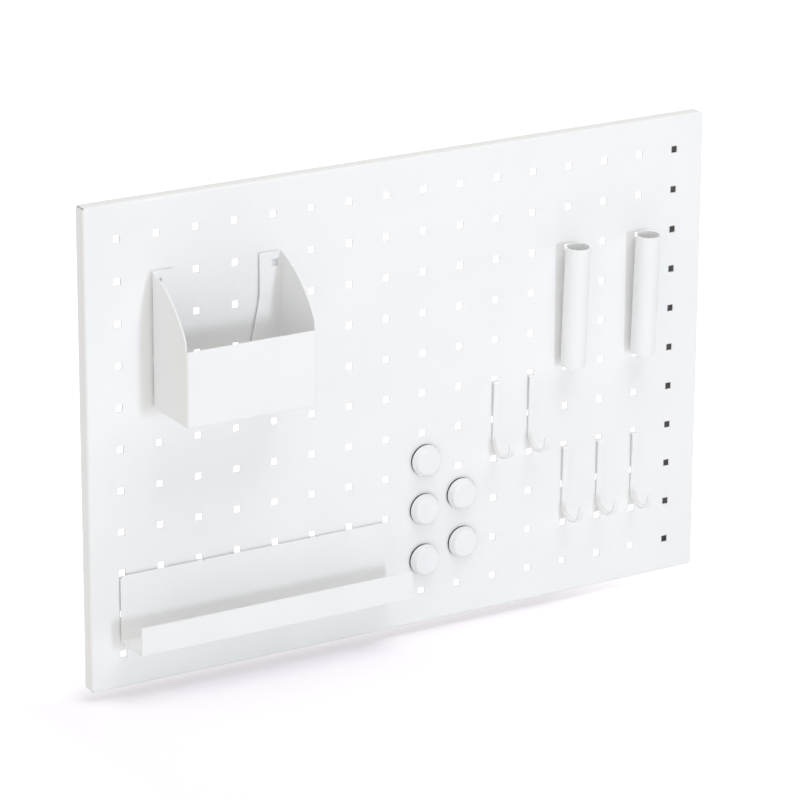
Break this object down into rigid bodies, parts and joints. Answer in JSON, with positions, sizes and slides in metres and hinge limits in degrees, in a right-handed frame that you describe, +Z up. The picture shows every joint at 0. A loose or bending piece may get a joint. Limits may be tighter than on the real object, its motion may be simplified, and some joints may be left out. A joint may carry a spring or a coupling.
{
  "type": "perforated wall board with accessories",
  "caption": "White perforated steel wall board with a hung pocket, pen tray, pen tubes, J hooks and round magnets that lift or pull off.",
  "frame": {"origin": "centre of the four keyholes, on the wall face of the board's rear flanges", "axes": "+X right along the board as seen from the front, +Y into the wall, +Z up"},
  "size_m": [0.5, 0.0642, 0.35],
  "materials": {
    "white_powder_coat": "fine-grained satin white powder coat",
    "white_cap": "smooth satin white moulding",
    "ferrite": "dull dark grey sintered ferrite"
  },
  "bodies": {
    "board": {"board_panel": "white_powder_coat"},
    "pocket": {"pocket_box": "white_powder_coat"},
    "tray": {"pen_tray": "white_powder_coat"},
    "tube_1": {"tube_1_barrel": "white_powder_coat", "tube_1_base": "white_powder_coat", "tube_1_hanger": "white_powder_coat"},
    "tube_2": {"tube_2_barrel": "white_powder_coat", "tube_2_base": "white_powder_coat", "tube_2_hanger": "white_powder_coat"},
    "hook_1": {"hook_1": "white_powder_coat"},
    "hook_2": {"hook_2": "white_powder_coat"},
    "hook_3": {"hook_3": "white_powder_coat"},
    "hook_4": {"hook_4": "white_powder_coat"},
    "hook_5": {"hook_5": "white_powder_coat"},
    "magnet_1": {"magnet_cap_1": "white_cap", "magnet_core_1": "ferrite"},
    "magnet_2": {"magnet_cap_2": "white_cap", "magnet_core_2": "ferrite"},
    "magnet_3": {"magnet_cap_3": "white_cap", "magnet_core_3": "ferrite"},
    "magnet_4": {"magnet_cap_4": "white_cap", "magnet_core_4": "ferrite"},
    "magnet_5": {"magnet_cap_5": "white_cap", "magnet_core_5": "ferrite"}
  },
  "joints": [
    {"name": "pocket_lift", "type": "slide", "parent": "board", "child": "pocket", "axis": [0, 0, 1], "range_m": [0, 0.0036]},
    {"name": "tray_lift", "type": "slide", "parent": "board", "child": "tray", "axis": [0, 0, 1], "range_m": [0, 0.0036]},
    {"name": "tube_1_lift", "type": "slide", "parent": "board", "child": "tube_1", "axis": [0, 0, 1], "range_m": [0, 0.0034]},
    {"name": "tube_2_lift", "type": "slide", "parent": "board", "child": "tube_2", "axis": [0, 0, 1], "range_m": [0, 0.0034]},
    {"name": "hook_1_lift", "type": "slide", "parent": "board", "child": "hook_1", "axis": [0, 0, 1], "range_m": [0, 0.0031]},
    {"name": "hook_2_lift", "type": "slide", "parent": "board", "child": "hook_2", "axis": [0, 0, 1], "range_m": [0, 0.0031]},
    {"name": "hook_3_lift", "type": "slide", "parent": "board", "child": "hook_3", "axis": [0, 0, 1], "range_m": [0, 0.0031]},
    {"name": "hook_4_lift", "type": "slide", "parent": "board", "child": "hook_4", "axis": [0, 0, 1], "range_m": [0, 0.0031]},
    {"name": "hook_5_lift", "type": "slide", "parent": "board", "child": "hook_5", "axis": [0, 0, 1], "range_m": [0, 0.0031]},
    {"name": "magnet_1_pull", "type": "slide", "parent": "board", "child": "magnet_1", "axis": [0, -1, 0], "range_m": [0, 0.03]},
    {"name": "magnet_2_pull", "type": "slide", "parent": "board", "child": "magnet_2", "axis": [0, -1, 0], "range_m": [0, 0.03]},
    {"name": "magnet_3_pull", "type": "slide", "parent": "board", "child": "magnet_3", "axis": [0, -1, 0], "range_m": [0, 0.03]},
    {"name": "magnet_4_pull", "type": "slide", "parent": "board", "child": "magnet_4", "axis": [0, -1, 0], "range_m": [0, 0.03]},
    {"name": "magnet_5_pull", "type": "slide", "parent": "board", "child": "magnet_5", "axis": [0, -1, 0], "range_m": [0, 0.03]}
  ]
}
